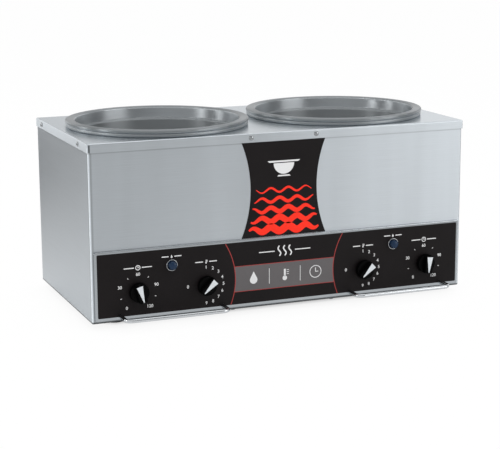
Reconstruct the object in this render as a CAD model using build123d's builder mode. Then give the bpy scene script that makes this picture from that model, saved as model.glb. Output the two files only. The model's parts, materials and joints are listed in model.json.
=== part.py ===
from build123d import *
from math import atan2, cos, degrees, radians, sin
import os

# Twin round-well food warmer that stands on a counter, in millimetres.
# X runs to the right, Y to the back and Z up. The origin is on the counter,
# under the middle of the whole object's box.

os.makedirs("parts", exist_ok=True)

# Body sheets
deck_side = 13.5  # side of the deck to an inset's rim
deck_end = 8.0  # front and back of the deck to the rims
rim_gap = 17.0  # between the two rims
under_room = 77.5  # lower edge of the sides to a well's floor
foot_clear = 10.5  # counter to the lower edge of the sides
sheet = 1.2  # stainless sheet
fold_radius = 2.0  # outside radius of a folded edge
corner_radius = 3.0  # the same, at the wrap's upright corners
flange_drop = 13.6  # height of the deck's turned-down flanges
flange_slit = 2.2  # open slit at each corner of those flanges
rear_return = 16.0  # inward returns of the wrap, at the rear
base_return = 12.0  # inward returns of the wrap, at the bottom
base_flange = 18.0  # lower edge of the sides to the top of the base pan
seat_gap = 0.3  # room under a piece that lifts off
fit_gap = 0.1  # room round a fixed rod or screw in its hole
film = 0.4  # printed film

# Wells and the lips of the deck openings
well_radius = 133.3  # inside
well_depth = 193.6  # deck surface to the inside of the floor
well_corner = 30.0  # outside radius between wall and floor
well_flange = 9.7  # width of the rim
well_bead = 6.0  # thickness of the rolled edge
lip_height = 2.5
lip_room = 1.0  # between the well's wall and the lip
lip_fillet = 1.0

# Insets
inset_wall = 1.0
inset_room = 4.3  # between the collar and the well
inset_water = 19.8  # a well's floor to the underside of the inset
inset_rim_cover = 1.0  # rim past the edge of the well
inset_crest_round = 2.5  # from the collar to the crest of the rim
inset_rim_height = 4.8
inset_rim_round = 2.2
inset_rim_curl = 4.6  # how far the edge curls back under the rim
inset_collar_height = 17.0  # crest to the step
inset_step = 4.5  # how far the step goes in
inset_taper = 5.5  # how far the wall comes in from the step to the floor
inset_corner = 24.0

# Control panel across the lower front
panel_margin = 5.5  # side of the body to the side of the panel
panel_bottom = 3.0  # above the lower edge of the body
panel_band = 12.0  # panel above the window in the wrap
panel_rise = 3.2  # how far it stands off the wrap
panel_corner = 3.0
panel_edge = 1.6  # rounding of its front edges
overlay_side = 4.0  # bare rim at each side of the overlay
overlay_top = 4.0
overlay_bottom = 5.5
overlay_corner = 1.5
window_side = 24.0  # edge of the panel to the window in the wrap
window_foot = 1.5  # below the timers
window_head = 9.5  # above the lamps
window_corner = 6.0

# Printed decal above the panel
decal_top_width = 138.0
decal_waist_width = 109.6
decal_foot_width = 140.0
decal_waist = 77.0  # panel to the waist
decal_gap = 0.4  # bare line above and below

# Controls
timer_side = 69.5  # side of the body to a timer's dial
dial_spacing = 108.0  # timer's dial to thermostat's dial
dial_shift = 3.0  # all the dials and their guards, to the right
dial_z = 44.0  # above the lower edge of the body
timer_rest = {"left": -15.5, "right": 4.5}  # pointer, degrees clockwise from upright
thermostat_rest = 46.0
timer_width = 50.0
timer_depth = 34.0
thermostat_width = 40.0
thermostat_depth = 26.0
case_corner = 4.0
cap_depth = 6.0  # raised cover on the back of a control
cap_inset = 4.0
blade_width = 6.3
blade_length = 8.0
blade_thickness = 0.8
blade_spacing = 18.0
bush_radius = 4.8
bush_nut_flats = 14.0
bush_nut_height = 3.0
bush_end = 1.0  # bush showing past its nut
shaft_radius = 3.0
shaft_running = 0.05  # room round the turning shaft
shaft_seat = 12.0  # shaft inside the control
shaft_flat = 1.2  # depth of the flat under the knob

# Knobs
knob_gap = 3.0  # between knob and overlay
knob_radius = 15.2
knob_skirt = 7.0
knob_skirt_draft = 4.0
knob_bar_width = 13.4
knob_bar_inset = 0.3  # edge of the skirt to the end of the bar
knob_bar_height = 8.5
knob_bar_corner = 3.0
knob_bar_draft = 3.0
knob_edge = 0.6
knob_recess_radius = 9.5
knob_recess_room = 1.0  # between the bush and the recess
knob_bore = 11.0  # back of the knob to the end of the shaft
pointer_end = 2.25  # end of the bar to the end of the inlay
pointer_margin = 1.7  # side of the bar to the wide end of the inlay
pointer_narrow = 1.5
pointer_depth = 0.6

# Indicator lamps
lamp_offset = 55.1  # timer's dial to the lamp, but for their shifts
lamp_shift = 1.0  # both the lamps, to the right
lamp_z = 80.5  # above the lower edge of the body
lamp_stem_radius = 5.5
lens_radius = 6.2
lens_height = 3.4
lens_round = 2.4
bezel_radius = 8.8
bezel_height = 2.4
bezel_round = 1.2
lamp_body_radius = 7.5
lamp_body_length = 22.0
lamp_body_round = 1.5

# Knob guards
guard_shift = 1.7  # outwards from the middle of its two dials
guard_margin = 27.0  # dial to the nearer leg, but for that shift
guard_z = 9.8  # above the lower edge of the body
guard_rod = 6.4
guard_standoff = 36.0  # front of the deck to the rod's centre
guard_bend = 10.0
guard_thread = 3.0  # rod past its nut
guard_nut_flats = 11.0
guard_nut_height = 5.0

# Heating under each well
element_rod = 7.0
element_edge = 12.0  # edge of the clamp plate to the ring's centre line
element_opening = 40.0  # degrees between the two legs
element_leg = 20.0
element_reach = 9.0  # end of the ring to its leg
element_bend = 8.0
element_pin_radius = 1.6
element_pin = 9.0
clamp_edge = 20.5  # edge of the well's flat floor to the edge of the plate
clamp_thickness = 1.6
clamp_vent_radius = 9.0
clamp_vent_circle = 44.0
clamp_vents = 6
stud_radius = 4.0
stud_thread = 3.0  # stud past its nut
stud_nut_flats = 13.0
stud_nut_height = 6.5
blanket_gap = 0.4
blanket = 9.0
blanket_top = 34.0  # below the deck
blanket_height = 122.0
switch_radius = 8.0
switch_height = 9.0
switch_round = 1.0
switch_edge = 10.5  # edge of the flat floor to the switch
bulb_radius = 3.0
bulb_length = 70.0
bulb_round = 1.0
bulb_edge = 11.5  # edge of the flat floor to the bulb
capillary_radius = 1.0
capillary_bend = 6.0
capillary_reach = 16.0

# Cord entry and terminals
gland_side = 78.0  # side of the body to the cord entry
gland_z = 41.5  # above the lower edge of the body
gland_length = 12.0  # outside the back panel
gland_flange_radius = 13.0
gland_flange = 3.0
gland_nose_radius = 9.5
gland_nose_round = 2.4
gland_bore = 4.6
gland_thread_radius = 8.0
gland_thread = 12.0
gland_nut_flats = 22.0
gland_nut_height = 5.0
terminal_width = 62.0
terminal_depth = 22.0
terminal_base = 9.0
terminal_rib = 8.0  # barrier ribs above the base
terminal_rib_width = 2.2
terminal_ribs = 5
terminal_back = 60.0  # in front of the back panel

# Feet
foot_inset = 50.0  # edge of the body to the foot's centre
foot_radius = 16.0
foot_draft = 6.0
foot_recess_radius = 5.5
foot_recess = 6.0

# Screws
screw_head_radius = 3.5
screw_head = 2.2
screw_head_round = 1.5
screw_shank_radius = 1.75
screw_length = 9.0
deck_screw_spacing = 107.2  # along the front and the back
deck_screw_front = 50.0  # front of the deck to the first side screw
deck_screw_back = 38.0  # back of the deck to the second
deck_screw_drop = 6.4  # below the deck
rear_screw_margin = 34.0
stud_side = 14.5  # side of the panel to its side studs
stud_margin = 22.0  # upper and lower edge of the panel to its side studs
panel_stud_radius = 2.0
panel_stud = 12.0
panel_nut_flats = 7.0
panel_nut_height = 3.2
base_screw_gap = 24.0  # inner leg of a guard to the front base screw
base_screw_end = 52.0  # front and back of the body to the side base screws

# Vents in the base
vent_length = 42.0
vent_width = 5.0
vent_pitch_x = 52.0
vent_pitch_y = 16.0
vent_columns = 3
vent_rows = 4

# Places that follow from the sizes above
well_outer = well_radius + sheet
well_rim_radius = well_radius + well_flange
well_floor_radius = well_outer - well_corner
inset_rim_radius = well_rim_radius + inset_rim_cover
inset_collar_radius = well_radius - inset_room
inset_crest_radius = inset_collar_radius + inset_crest_round
inset_body_radius = inset_collar_radius - inset_step
well_spacing = 2 * inset_rim_radius + rim_gap
body_width = well_spacing + 2 * (inset_rim_radius + deck_side)
body_depth = 2 * (inset_rim_radius + deck_end)
body_height = well_depth + under_room
base_z = foot_clear
deck_z = base_z + body_height
guard_reach = guard_standoff + guard_rod / 2
gland_reach = gland_length - sheet
front_y = (guard_reach - gland_reach - body_depth) / 2
back_y = front_y + body_depth
mid_y = (front_y + back_y) / 2
fold_inner = fold_radius - sheet
wrap_x = body_width / 2 - sheet
wrap_height = body_height - fold_radius
wrap_front = front_y + sheet
wrap_rear = back_y - 2 * sheet
wrap_mid = (wrap_front + wrap_rear) / 2
wrap_depth = wrap_rear - wrap_front
base_x = wrap_x - sheet
base_front = wrap_front + sheet
base_rear = wrap_rear - sheet
opening_radius = well_outer + lip_room
well_flange_z = deck_z + lip_height
well_top_z = well_flange_z + sheet / 2 + well_bead / 2
well_under_z = deck_z - well_depth - sheet
clamp_radius = well_floor_radius - clamp_edge
element_radius = clamp_radius - element_edge
element_z = well_under_z - fit_gap - element_rod / 2
clamp_z = element_z - element_rod / 2 - clamp_thickness
dial_height = base_z + dial_z
lamp_height = base_z + lamp_z
window_low = dial_height - timer_width / 2 - window_foot
window_high = lamp_height + lamp_body_radius + window_head
panel_low = base_z + panel_bottom
panel_high = window_high + panel_band
panel_height = panel_high - panel_low
panel_z = (panel_low + panel_high) / 2
panel_width = body_width - 2 * panel_margin
panel_inner_y = wrap_front - panel_rise + sheet
overlay_y = wrap_front - panel_rise - film
bush_length = sheet + film + bush_nut_height + bush_end
knob_back_y = overlay_y - knob_gap
knob_recess = bush_length + knob_recess_room - sheet - film - knob_gap

timer_x = body_width / 2 - timer_side
thermostat_x = timer_x - dial_spacing
lamp_x = timer_x - lamp_offset
guard_x = (timer_x + thermostat_x) / 2 + guard_shift
guard_width = dial_spacing + 2 * guard_margin
knob_bar_length = 2 * (knob_radius - knob_bar_inset)
pointer_length = knob_bar_length - 2 * pointer_end
pointer_wide = knob_bar_width - 2 * pointer_margin
gland_x = body_width / 2 - gland_side

sides = {"left": -1, "right": 1}
timer_places = {name: side * timer_x + dial_shift for name, side in sides.items()}
thermostat_places = {name: side * thermostat_x + dial_shift for name, side in sides.items()}
lamp_places = {name: side * lamp_x + lamp_shift for name, side in sides.items()}
guard_places = {name: side * guard_x + dial_shift for name, side in sides.items()}
well_centres = [(side * well_spacing / 2, mid_y) for side in sides.values()]

# Faces that carry pieces, each with its normal pointing out of the body
front_face = Plane((0, wrap_front, 0), x_dir=(1, 0, 0), z_dir=(0, -1, 0))
panel_face = front_face.offset(panel_rise)
panel_inner = front_face.offset(panel_rise - sheet)
overlay_face = front_face.offset(panel_rise + film)
base_inner = Plane((0, base_front + sheet, 0), x_dir=(-1, 0, 0), z_dir=(0, 1, 0))
wrap_inner = Plane((0, base_front, 0), x_dir=(-1, 0, 0), z_dir=(0, 1, 0))
rear_face = Plane((0, wrap_rear, 0), x_dir=(-1, 0, 0), z_dir=(0, 1, 0))
back_face = rear_face.offset(sheet)

# Spots on the front, as places across and up
control_spots = [(x, dial_height) for x in (*timer_places.values(), *thermostat_places.values())]
lamp_spots = [(x, lamp_height) for x in lamp_places.values()]
guard_height = base_z + guard_z
guard_spots = []
for centre_x in guard_places.values():
    for leg in (-guard_width / 2, guard_width / 2):
        guard_spots.append((centre_x + leg, guard_height))
stud_x = panel_width / 2 - stud_side
stud_spots = [(0, panel_high - panel_band / 2)]
for side in sides.values():
    stud_spots.append((side * stud_x, panel_low + stud_margin))
    stud_spots.append((side * stud_x, panel_high - stud_margin))

# Seats of the screws, each with its normal pointing out along the screw's head
deck_screw_z = deck_z - deck_screw_drop
deck_screw_seats = []
for x in (-deck_screw_spacing / 2, deck_screw_spacing / 2):
    deck_screw_seats.append(Plane((x, front_y, deck_screw_z), z_dir=(0, -1, 0)))
    deck_screw_seats.append(Plane((x, back_y, deck_screw_z), z_dir=(0, 1, 0)))
for y in (front_y + deck_screw_front, back_y - deck_screw_back):
    for side in sides.values():
        spot = (side * body_width / 2, y, deck_screw_z)
        deck_screw_seats.append(Plane(spot, z_dir=(side, 0, 0)))
rear_screw_x = wrap_x - rear_return / 2
rear_screw_seats = []
for z in (base_z + rear_screw_margin, (base_z + deck_z) / 2, deck_z - rear_screw_margin):
    for side in sides.values():
        spot = (side * rear_screw_x, back_y - sheet, z)
        rear_screw_seats.append(Plane(spot, z_dir=(0, 1, 0)))
base_screw_seats = []
base_screw_x = guard_x - guard_width / 2 - base_screw_gap
for x in (-base_screw_x, base_screw_x):
    spot = (x, wrap_front + base_return / 2, base_z)
    base_screw_seats.append(Plane(spot, z_dir=(0, 0, -1)))
for y in (front_y + base_screw_end, back_y - base_screw_end):
    for side in sides.values():
        spot = (side * (wrap_x - base_return / 2), y, base_z)
        base_screw_seats.append(Plane(spot, z_dir=(0, 0, -1)))
foot_places = {
    "front_left_foot": (-body_width / 2 + foot_inset, front_y + foot_inset),
    "front_right_foot": (body_width / 2 - foot_inset, front_y + foot_inset),
    "back_left_foot": (-body_width / 2 + foot_inset, back_y - foot_inset),
    "back_right_foot": (body_width / 2 - foot_inset, back_y - foot_inset),
}
foot_screw_seats = []
for x, y in foot_places.values():
    foot_screw_seats.append(Plane((x, y, foot_recess), z_dir=(0, 0, -1)))
screw_hole = screw_shank_radius + fit_gap


def save(piece, name):
    """Label a finished piece and write it under its own name."""
    piece.part.label = name
    export_step(piece.part, f"parts/{name}.step")


def pan_screws(seats):
    """Round-headed screws, one on each seat."""
    with BuildPart() as screw:
        Cylinder(screw_head_radius, screw_head, align=(Align.CENTER, Align.CENTER, Align.MIN))
        fillet(screw.edges().sort_by(Axis.Z)[-1], screw_head_round)
        Cylinder(screw_shank_radius, screw_length, align=(Align.CENTER, Align.CENTER, Align.MAX))
    with BuildPart() as screws:
        with Locations(*seats):
            add(screw.part)
    return screws


def hex_nuts(face, spots, flats, hole_radius, height):
    """Hexagon nuts standing on one face."""
    with BuildPart() as nuts:
        with BuildSketch(face):
            with Locations(*spots):
                RegularPolygon(flats / 2, 6, major_radius=False)
                Circle(hole_radius, mode=Mode.SUBTRACT)
        extrude(amount=height)
    return nuts


# Deck, with turned-down flanges and a turned-up lip round each opening
with BuildPart() as top_deck:
    with BuildSketch(Plane.XY.offset(deck_z - flange_drop)):
        with Locations((0, mid_y)):
            Rectangle(body_width, body_depth)
    extrude(amount=flange_drop)
    fillet(top_deck.edges().filter_by(Axis.Z), fold_radius)
    fillet(top_deck.faces().sort_by(Axis.Z)[-1].edges(), fold_radius)
    offset(amount=-sheet, openings=top_deck.faces().sort_by(Axis.Z)[0])
    with BuildSketch(Plane.XY.offset(deck_z - flange_drop)):
        with Locations((0, mid_y)):
            with GridLocations(body_width - 2 * fold_radius - flange_slit, body_depth - sheet, 2, 2):
                Rectangle(flange_slit, 2 * sheet)
    extrude(amount=flange_drop - fold_radius, mode=Mode.SUBTRACT)
    with BuildSketch(Plane.XY.offset(deck_z - sheet)):
        with Locations(*well_centres):
            Circle(opening_radius + sheet)
    extrude(amount=sheet + lip_height)
    with BuildSketch(Plane.XY.offset(deck_z - sheet)):
        with Locations(*well_centres):
            Circle(opening_radius)
    extrude(amount=sheet + lip_height, mode=Mode.SUBTRACT)
    lip_feet = top_deck.edges().filter_by(GeomType.CIRCLE).filter_by_position(Axis.Z, deck_z, deck_z)
    fillet(lip_feet, lip_fillet)
    with Locations(*deck_screw_seats):
        Hole(screw_hole, depth=2 * sheet)
save(top_deck, "top_deck")

# Front and sides folded from one sheet, with returns at the rear and the bottom
with BuildPart() as outer_wrap:
    with BuildSketch(Plane.XY.offset(base_z)):
        with Locations((0, wrap_mid)):
            Rectangle(2 * wrap_x, wrap_depth)
    extrude(amount=wrap_height)
    fillet(outer_wrap.edges().filter_by(Axis.Z), corner_radius)
    fillet(outer_wrap.faces().sort_by(Axis.Z)[0].edges(), fold_radius)
    offset(amount=-sheet, openings=outer_wrap.faces().sort_by(Axis.Z)[-1])
    with BuildSketch(Plane.XY.offset(base_z)):
        with Locations((0, wrap_mid + base_return)):
            Rectangle(2 * (wrap_x - base_return), wrap_depth)
    extrude(amount=sheet, mode=Mode.SUBTRACT)
    with BuildSketch(rear_face):
        with Locations((0, base_z + body_height / 2)):
            Rectangle(2 * (wrap_x - rear_return), body_height)
    extrude(amount=-base_return, mode=Mode.SUBTRACT)
    with BuildSketch(front_face):
        with Locations((0, (window_low + window_high) / 2)):
            RectangleRounded(panel_width - 2 * window_side, window_high - window_low, window_corner)
        with Locations(*guard_spots):
            Circle(guard_rod / 2 + fit_gap)
        with Locations(*stud_spots):
            Circle(panel_stud_radius + fit_gap)
    extrude(amount=-sheet, mode=Mode.SUBTRACT)
    with Locations(*deck_screw_seats, *rear_screw_seats):
        Hole(screw_hole, depth=screw_length)
    with Locations(*base_screw_seats):
        Hole(screw_hole, depth=screw_length)
save(outer_wrap, "outer_wrap")

# Flat back panel, screwed to the wrap's returns
with BuildPart() as back_panel:
    with BuildSketch(rear_face):
        with Locations((0, base_z + wrap_height / 2)):
            Rectangle(2 * (wrap_x - fold_inner), wrap_height)
        with Locations((-gland_x, base_z + gland_z)):
            Circle(gland_thread_radius + fit_gap, mode=Mode.SUBTRACT)
    extrude(amount=sheet)
    with Locations(*deck_screw_seats, *rear_screw_seats):
        Hole(screw_hole, depth=screw_length)
save(back_panel, "back_panel")

# Base pan with upturned edges, foot holes and rows of vent slots
with BuildPart() as base_pan:
    with BuildSketch(Plane.XY.offset(base_z + sheet)):
        with Locations((0, wrap_mid)):
            Rectangle(2 * base_x, base_rear - base_front)
    extrude(amount=base_flange - sheet)
    fillet(base_pan.edges().filter_by(Axis.Z), fold_radius)
    fillet(base_pan.faces().sort_by(Axis.Z)[0].edges(), fold_radius)
    offset(amount=-sheet, openings=base_pan.faces().sort_by(Axis.Z)[-1])
    with BuildSketch(Plane.XY.offset(base_z + sheet)):
        with Locations(*well_centres):
            with GridLocations(vent_pitch_x, vent_pitch_y, vent_columns, vent_rows):
                SlotOverall(vent_length, vent_width)
    extrude(amount=sheet, mode=Mode.SUBTRACT)
    with BuildSketch(base_inner):
        with Locations(*[(-x, z) for x, z in guard_spots]):
            Circle(guard_rod / 2 + fit_gap)
    extrude(amount=-sheet, mode=Mode.SUBTRACT)
    with Locations(*base_screw_seats, *foot_screw_seats):
        Hole(screw_hole, depth=screw_length)
save(base_pan, "base_pan")

# Control panel: a shallow tray with rounded edges and studs behind
with BuildPart() as control_panel:
    with BuildSketch(front_face):
        with Locations((0, panel_z)):
            RectangleRounded(panel_width, panel_height, panel_corner)
    extrude(amount=panel_rise)
    fillet(control_panel.faces().sort_by(Axis.Y)[0].edges(), panel_edge)
    offset(amount=-sheet, openings=control_panel.faces().sort_by(Axis.Y)[-1])
    with BuildSketch(panel_inner):
        with Locations(*stud_spots):
            Circle(panel_stud_radius)
    extrude(amount=-panel_stud)
    with BuildSketch(panel_face):
        with Locations(*control_spots):
            Circle(bush_radius + fit_gap)
        with Locations(*lamp_spots):
            Circle(lamp_stem_radius + fit_gap)
        with Locations(*guard_spots):
            Circle(guard_rod / 2 + fit_gap)
    extrude(amount=-panel_rise, mode=Mode.SUBTRACT)
save(control_panel, "control_panel")

# Printed film on the panel
overlay_width = panel_width - 2 * overlay_side
overlay_height = panel_height - overlay_top - overlay_bottom
with BuildPart() as panel_overlay:
    with BuildSketch(panel_face):
        with Locations((0, panel_z + (overlay_bottom - overlay_top) / 2)):
            RectangleRounded(overlay_width, overlay_height, overlay_corner)
        with Locations(*control_spots):
            Circle(bush_radius + fit_gap, mode=Mode.SUBTRACT)
        with Locations(*lamp_spots):
            Circle(lamp_stem_radius + fit_gap, mode=Mode.SUBTRACT)
        with Locations(*guard_spots):
            Circle(guard_rod / 2 + fit_gap, mode=Mode.SUBTRACT)
    extrude(amount=film)
save(panel_overlay, "panel_overlay")

# Waisted film on the front, between the panel and the deck's flange
decal_foot_z = panel_high + decal_gap
decal_top_z = deck_z - flange_drop - decal_gap
decal_waist_z = panel_high + decal_waist
with BuildPart() as front_decal:
    with BuildSketch(front_face):
        with BuildLine():
            top_edge = Line((-decal_top_width / 2, decal_top_z), (decal_top_width / 2, decal_top_z))
            foot_edge = Line((decal_foot_width / 2, decal_foot_z), (-decal_foot_width / 2, decal_foot_z))
            ThreePointArc(top_edge @ 1, (decal_waist_width / 2, decal_waist_z), foot_edge @ 0)
            ThreePointArc(foot_edge @ 1, (-decal_waist_width / 2, decal_waist_z), top_edge @ 0)
        make_face()
    extrude(amount=film)
save(front_decal, "front_decal")


def make_well(centre_x):
    """Drawn well: round floor edge, flange with a rolled edge, and a stud underneath."""
    with BuildPart() as well:
        with BuildSketch(Plane.XY.offset(well_under_z)):
            with Locations((centre_x, mid_y)):
                Circle(well_outer)
        extrude(amount=well_flange_z + sheet - well_under_z)
        fillet(well.edges().sort_by(Axis.Z)[0], well_corner)
        offset(amount=-sheet, openings=well.faces().sort_by(Axis.Z)[-1])
        bead_radius = well_rim_radius - well_bead / 2
        with BuildSketch(Plane.XY.offset(well_flange_z)):
            with Locations((centre_x, mid_y)):
                Circle(bead_radius)
                Circle(well_radius, mode=Mode.SUBTRACT)
        extrude(amount=sheet)
        with Locations((centre_x, mid_y, well_flange_z + sheet / 2)):
            Torus(bead_radius, well_bead / 2)
        stud_length = well_under_z - clamp_z + stud_nut_height + stud_thread
        with Locations((centre_x, mid_y, well_under_z)):
            Cylinder(stud_radius, stud_length, align=(Align.CENTER, Align.CENTER, Align.MAX))
    return well


def make_inset(centre_x):
    """Lift-out pan: broad rolled rim, collar, step and a tapered wall with a round floor edge."""
    rim_z = well_top_z + seat_gap
    crest_z = rim_z + inset_rim_height
    step_z = crest_z - inset_collar_height
    floor_z = deck_z - well_depth + inset_water + inset_wall
    half_step = inset_step / 2
    section = Plane((centre_x, mid_y, 0), x_dir=(1, 0, 0), z_dir=(0, -1, 0))
    with BuildPart() as inset:
        with BuildSketch(section):
            with BuildLine():
                FilletPolyline(
                    (inset_rim_radius - inset_rim_curl, rim_z),
                    (inset_rim_radius, rim_z),
                    (inset_rim_radius, crest_z),
                    (inset_crest_radius, crest_z),
                    radius=inset_rim_round,
                )
                RadiusArc(
                    (inset_crest_radius, crest_z),
                    (inset_collar_radius, crest_z - inset_crest_round),
                    -inset_crest_round,
                )
                Line((inset_collar_radius, crest_z - inset_crest_round), (inset_collar_radius, step_z))
                RadiusArc(
                    (inset_collar_radius, step_z),
                    (inset_collar_radius - half_step, step_z - half_step),
                    half_step,
                )
                RadiusArc(
                    (inset_collar_radius - half_step, step_z - half_step),
                    (inset_body_radius, step_z - inset_step),
                    -half_step,
                )
                FilletPolyline(
                    (inset_body_radius, step_z - inset_step),
                    (inset_body_radius - inset_taper, floor_z),
                    (0, floor_z),
                    radius=inset_corner,
                )
                offset(amount=inset_wall, side=Side.LEFT)
            make_face()
        revolve(axis=Axis((centre_x, mid_y, 0), (0, 0, 1)))
    return inset


def make_element(centre_x):
    """Tubular heating ring whose two ends turn down into legs, each with a terminal pin."""
    half_opening = element_opening / 2
    leg_z = element_z - element_leg
    ends = []
    for turn in (half_opening, -half_opening):
        angle = radians(90 + turn)
        to_leg = -1 if turn > 0 else 1
        end_x = centre_x + element_radius * cos(angle)
        end_y = mid_y + element_radius * sin(angle)
        leg_x = end_x - to_leg * element_reach * sin(angle)
        leg_y = end_y + to_leg * element_reach * cos(angle)
        ends.append(((end_x, end_y, element_z), (leg_x, leg_y, element_z), (leg_x, leg_y, leg_z)))
    (first_end, first_turn, first_leg), (last_end, last_turn, last_leg) = ends
    far_side = (centre_x, mid_y - element_radius, element_z)
    with BuildPart() as element:
        with BuildLine() as path:
            FilletPolyline(first_leg, first_turn, first_end, radius=element_bend)
            ThreePointArc(first_end, far_side, last_end)
            FilletPolyline(last_end, last_turn, last_leg, radius=element_bend)
        with BuildSketch(Plane(path.line @ 0, z_dir=path.line % 0)):
            Circle(element_rod / 2)
        sweep()
        with Locations(first_leg, last_leg):
            Cylinder(element_pin_radius, element_pin, align=(Align.CENTER, Align.CENTER, Align.MAX))
    return element


def make_clamp(centre_x):
    """Plate that holds the heating ring up, cut away behind for the ring's legs."""
    half_opening = radians(element_opening / 2)
    leg_half = element_radius * sin(half_opening) + element_rod
    leg_near = element_radius * cos(half_opening) - element_rod
    with BuildPart() as clamp:
        with BuildSketch(Plane((centre_x, mid_y, clamp_z))):
            Circle(clamp_radius)
            Circle(stud_radius + fit_gap, mode=Mode.SUBTRACT)
            with PolarLocations(clamp_vent_circle, clamp_vents):
                Circle(clamp_vent_radius, mode=Mode.SUBTRACT)
            with Locations((0, leg_near)):
                Rectangle(
                    2 * leg_half,
                    clamp_radius,
                    align=(Align.CENTER, Align.MIN),
                    mode=Mode.SUBTRACT,
                )
        extrude(amount=clamp_thickness)
    return clamp


def make_blanket(centre_x):
    """Insulation round the well's wall."""
    with BuildPart() as blanket_wrap:
        with BuildSketch(Plane((centre_x, mid_y, deck_z - blanket_top))):
            Circle(well_outer + blanket_gap + blanket)
            Circle(well_outer + blanket_gap, mode=Mode.SUBTRACT)
        extrude(amount=-blanket_height)
    return blanket_wrap


def make_switch(centre_x, side):
    """Low-water switch: a round snap disc on the well's floor, with two blades."""
    switch_x = centre_x + side * (well_floor_radius - switch_edge)
    place = Plane((switch_x, mid_y, well_under_z), z_dir=(0, 0, -1))
    with BuildPart() as switch:
        with BuildSketch(place):
            Circle(switch_radius)
        extrude(amount=switch_height)
        fillet(switch.edges().sort_by(Axis.Z)[0], switch_round)
        with BuildSketch(place.offset(switch_height)):
            with GridLocations(switch_radius, 0, 2, 1):
                Rectangle(blade_thickness, blade_width)
        extrude(amount=blade_length)
    return switch


def make_bulb(centre_x, side, case_x):
    """Sensing bulb against the well's floor, and its capillary to the thermostat's back."""
    bulb_y = mid_y - well_floor_radius + bulb_edge
    bulb_z = well_under_z - fit_gap - bulb_radius
    bulb_end = centre_x - side * bulb_length / 2
    turn_x = bulb_end - side * capillary_reach
    case_back = panel_inner_y + thermostat_depth + cap_depth
    with BuildPart() as bulb:
        with BuildSketch(Plane((bulb_end, bulb_y, bulb_z), z_dir=(side, 0, 0))):
            Circle(bulb_radius)
        extrude(amount=bulb_length)
        fillet(bulb.edges().filter_by(GeomType.CIRCLE), bulb_round)
        with BuildLine() as path:
            FilletPolyline(
                (bulb_end, bulb_y, bulb_z),
                (turn_x, bulb_y, bulb_z),
                (turn_x, bulb_y, dial_height),
                (case_x, bulb_y, dial_height),
                (case_x, case_back, dial_height),
                radius=capillary_bend,
            )
        with BuildSketch(Plane(path.line @ 0, z_dir=path.line % 0)):
            Circle(capillary_radius)
        sweep()
    return bulb


def make_control(centre_x, width, depth):
    """Control case behind the panel, with a bush through it, a rear cap and two blades."""
    place = Plane((centre_x, panel_inner_y, dial_height), x_dir=(1, 0, 0), z_dir=(0, -1, 0))
    with BuildPart() as control:
        with BuildSketch(place):
            RectangleRounded(width, width, case_corner)
        extrude(amount=-depth)
        with BuildSketch(place.offset(-depth)):
            Circle(width / 2 - cap_inset)
        extrude(amount=-cap_depth)
        with BuildSketch(place.offset(-depth)):
            with Locations((0, width / 2 - cap_inset / 2), (0, cap_inset / 2 - width / 2)):
                with GridLocations(blade_spacing, 0, 2, 1):
                    Rectangle(blade_width, blade_thickness)
        extrude(amount=-blade_length)
        with BuildSketch(place):
            Circle(bush_radius)
        extrude(amount=bush_length)
        with BuildSketch(place.offset(bush_length)):
            Circle(shaft_radius + shaft_running)
        extrude(amount=-bush_length - shaft_seat, mode=Mode.SUBTRACT)
    return control


def dial_plane(centre_x, angle):
    """Back of a knob, turned so that its upward direction is the pointer's."""
    turn = radians(angle)
    spot = (centre_x, knob_back_y, dial_height)
    return Plane(spot, x_dir=(cos(turn), 0, -sin(turn)), z_dir=(0, -1, 0))


def flatted_round(radius):
    """Round section with the flat that a knob grips."""
    Circle(radius)
    with Locations((0, -shaft_radius)):
        Rectangle(2 * radius, 2 * shaft_flat, mode=Mode.SUBTRACT)


def pointer_outline():
    """Wedge on the knob's bar, wide end towards the scale."""
    Trapezoid(
        pointer_wide,
        pointer_length,
        degrees(atan2(2 * pointer_length, pointer_wide - pointer_narrow)),
        rotation=180,
    )


def make_knob(centre_x, angle):
    """Skirted knob with a bar grip, hollow behind, bored for the flatted shaft."""
    back = dial_plane(centre_x, angle)
    face = back.offset(knob_skirt + knob_bar_height)
    with BuildPart() as knob:
        with BuildSketch(back):
            Circle(knob_radius)
        extrude(amount=knob_skirt, taper=knob_skirt_draft)
        fillet(knob.faces().sort_by(Axis.Y)[0].edges(), knob_edge)
        with BuildSketch(back.offset(knob_skirt)):
            RectangleRounded(knob_bar_width, knob_bar_length, knob_bar_corner)
        extrude(amount=knob_bar_height, taper=knob_bar_draft)
        fillet(knob.faces().sort_by(Axis.Y)[0].edges(), knob_edge)
        with BuildSketch(face):
            pointer_outline()
        extrude(amount=-pointer_depth, mode=Mode.SUBTRACT)
        with BuildSketch(back):
            Circle(knob_recess_radius)
        extrude(amount=knob_recess, mode=Mode.SUBTRACT)
        with BuildSketch(back):
            flatted_round(shaft_radius + fit_gap / 2)
        extrude(amount=knob_bore, mode=Mode.SUBTRACT)
    return knob


def make_pointer(centre_x, angle):
    """White inlay in the knob's bar."""
    face = dial_plane(centre_x, angle).offset(knob_skirt + knob_bar_height)
    with BuildPart() as pointer:
        with BuildSketch(face):
            pointer_outline()
        extrude(amount=-pointer_depth)
    return pointer


def make_shaft(centre_x, angle):
    """Turning shaft: round in the control's bush, flatted inside the knob."""
    back = dial_plane(centre_x, angle)
    case_end = panel_inner_y + shaft_seat - knob_back_y
    with BuildPart() as shaft:
        with BuildSketch(back.offset(-case_end)):
            Circle(shaft_radius)
        extrude(amount=case_end + knob_recess)
        with BuildSketch(back.offset(knob_recess)):
            flatted_round(shaft_radius)
        extrude(amount=knob_bore - knob_recess)
    return shaft


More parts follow.
